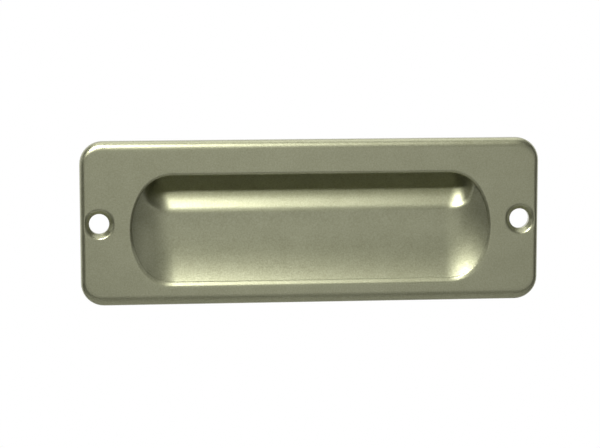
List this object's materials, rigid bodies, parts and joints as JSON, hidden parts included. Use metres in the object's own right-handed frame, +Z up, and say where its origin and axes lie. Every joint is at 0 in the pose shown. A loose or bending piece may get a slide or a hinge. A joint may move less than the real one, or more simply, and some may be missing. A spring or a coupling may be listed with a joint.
{
  "type": "cabinet pull",
  "caption": "Flush cabinet pull: a rectangular plate with a rounded finger recess, a deeper groove behind its upper lip and countersunk screw holes at the ends.",
  "frame": {"origin": "centre of the plate's back plane, midway between the screw holes", "axes": "+X along the plate's length, +Y into the door, +Z up when fitted; the front face looks along -Y"},
  "size_m": [0.11, 0.0095, 0.0392],
  "materials": {
    "champagne_paint": "satin metallic"
  },
  "bodies": {
    "root": {"pull_body": "champagne_paint"}
  },
  "joints": []
}
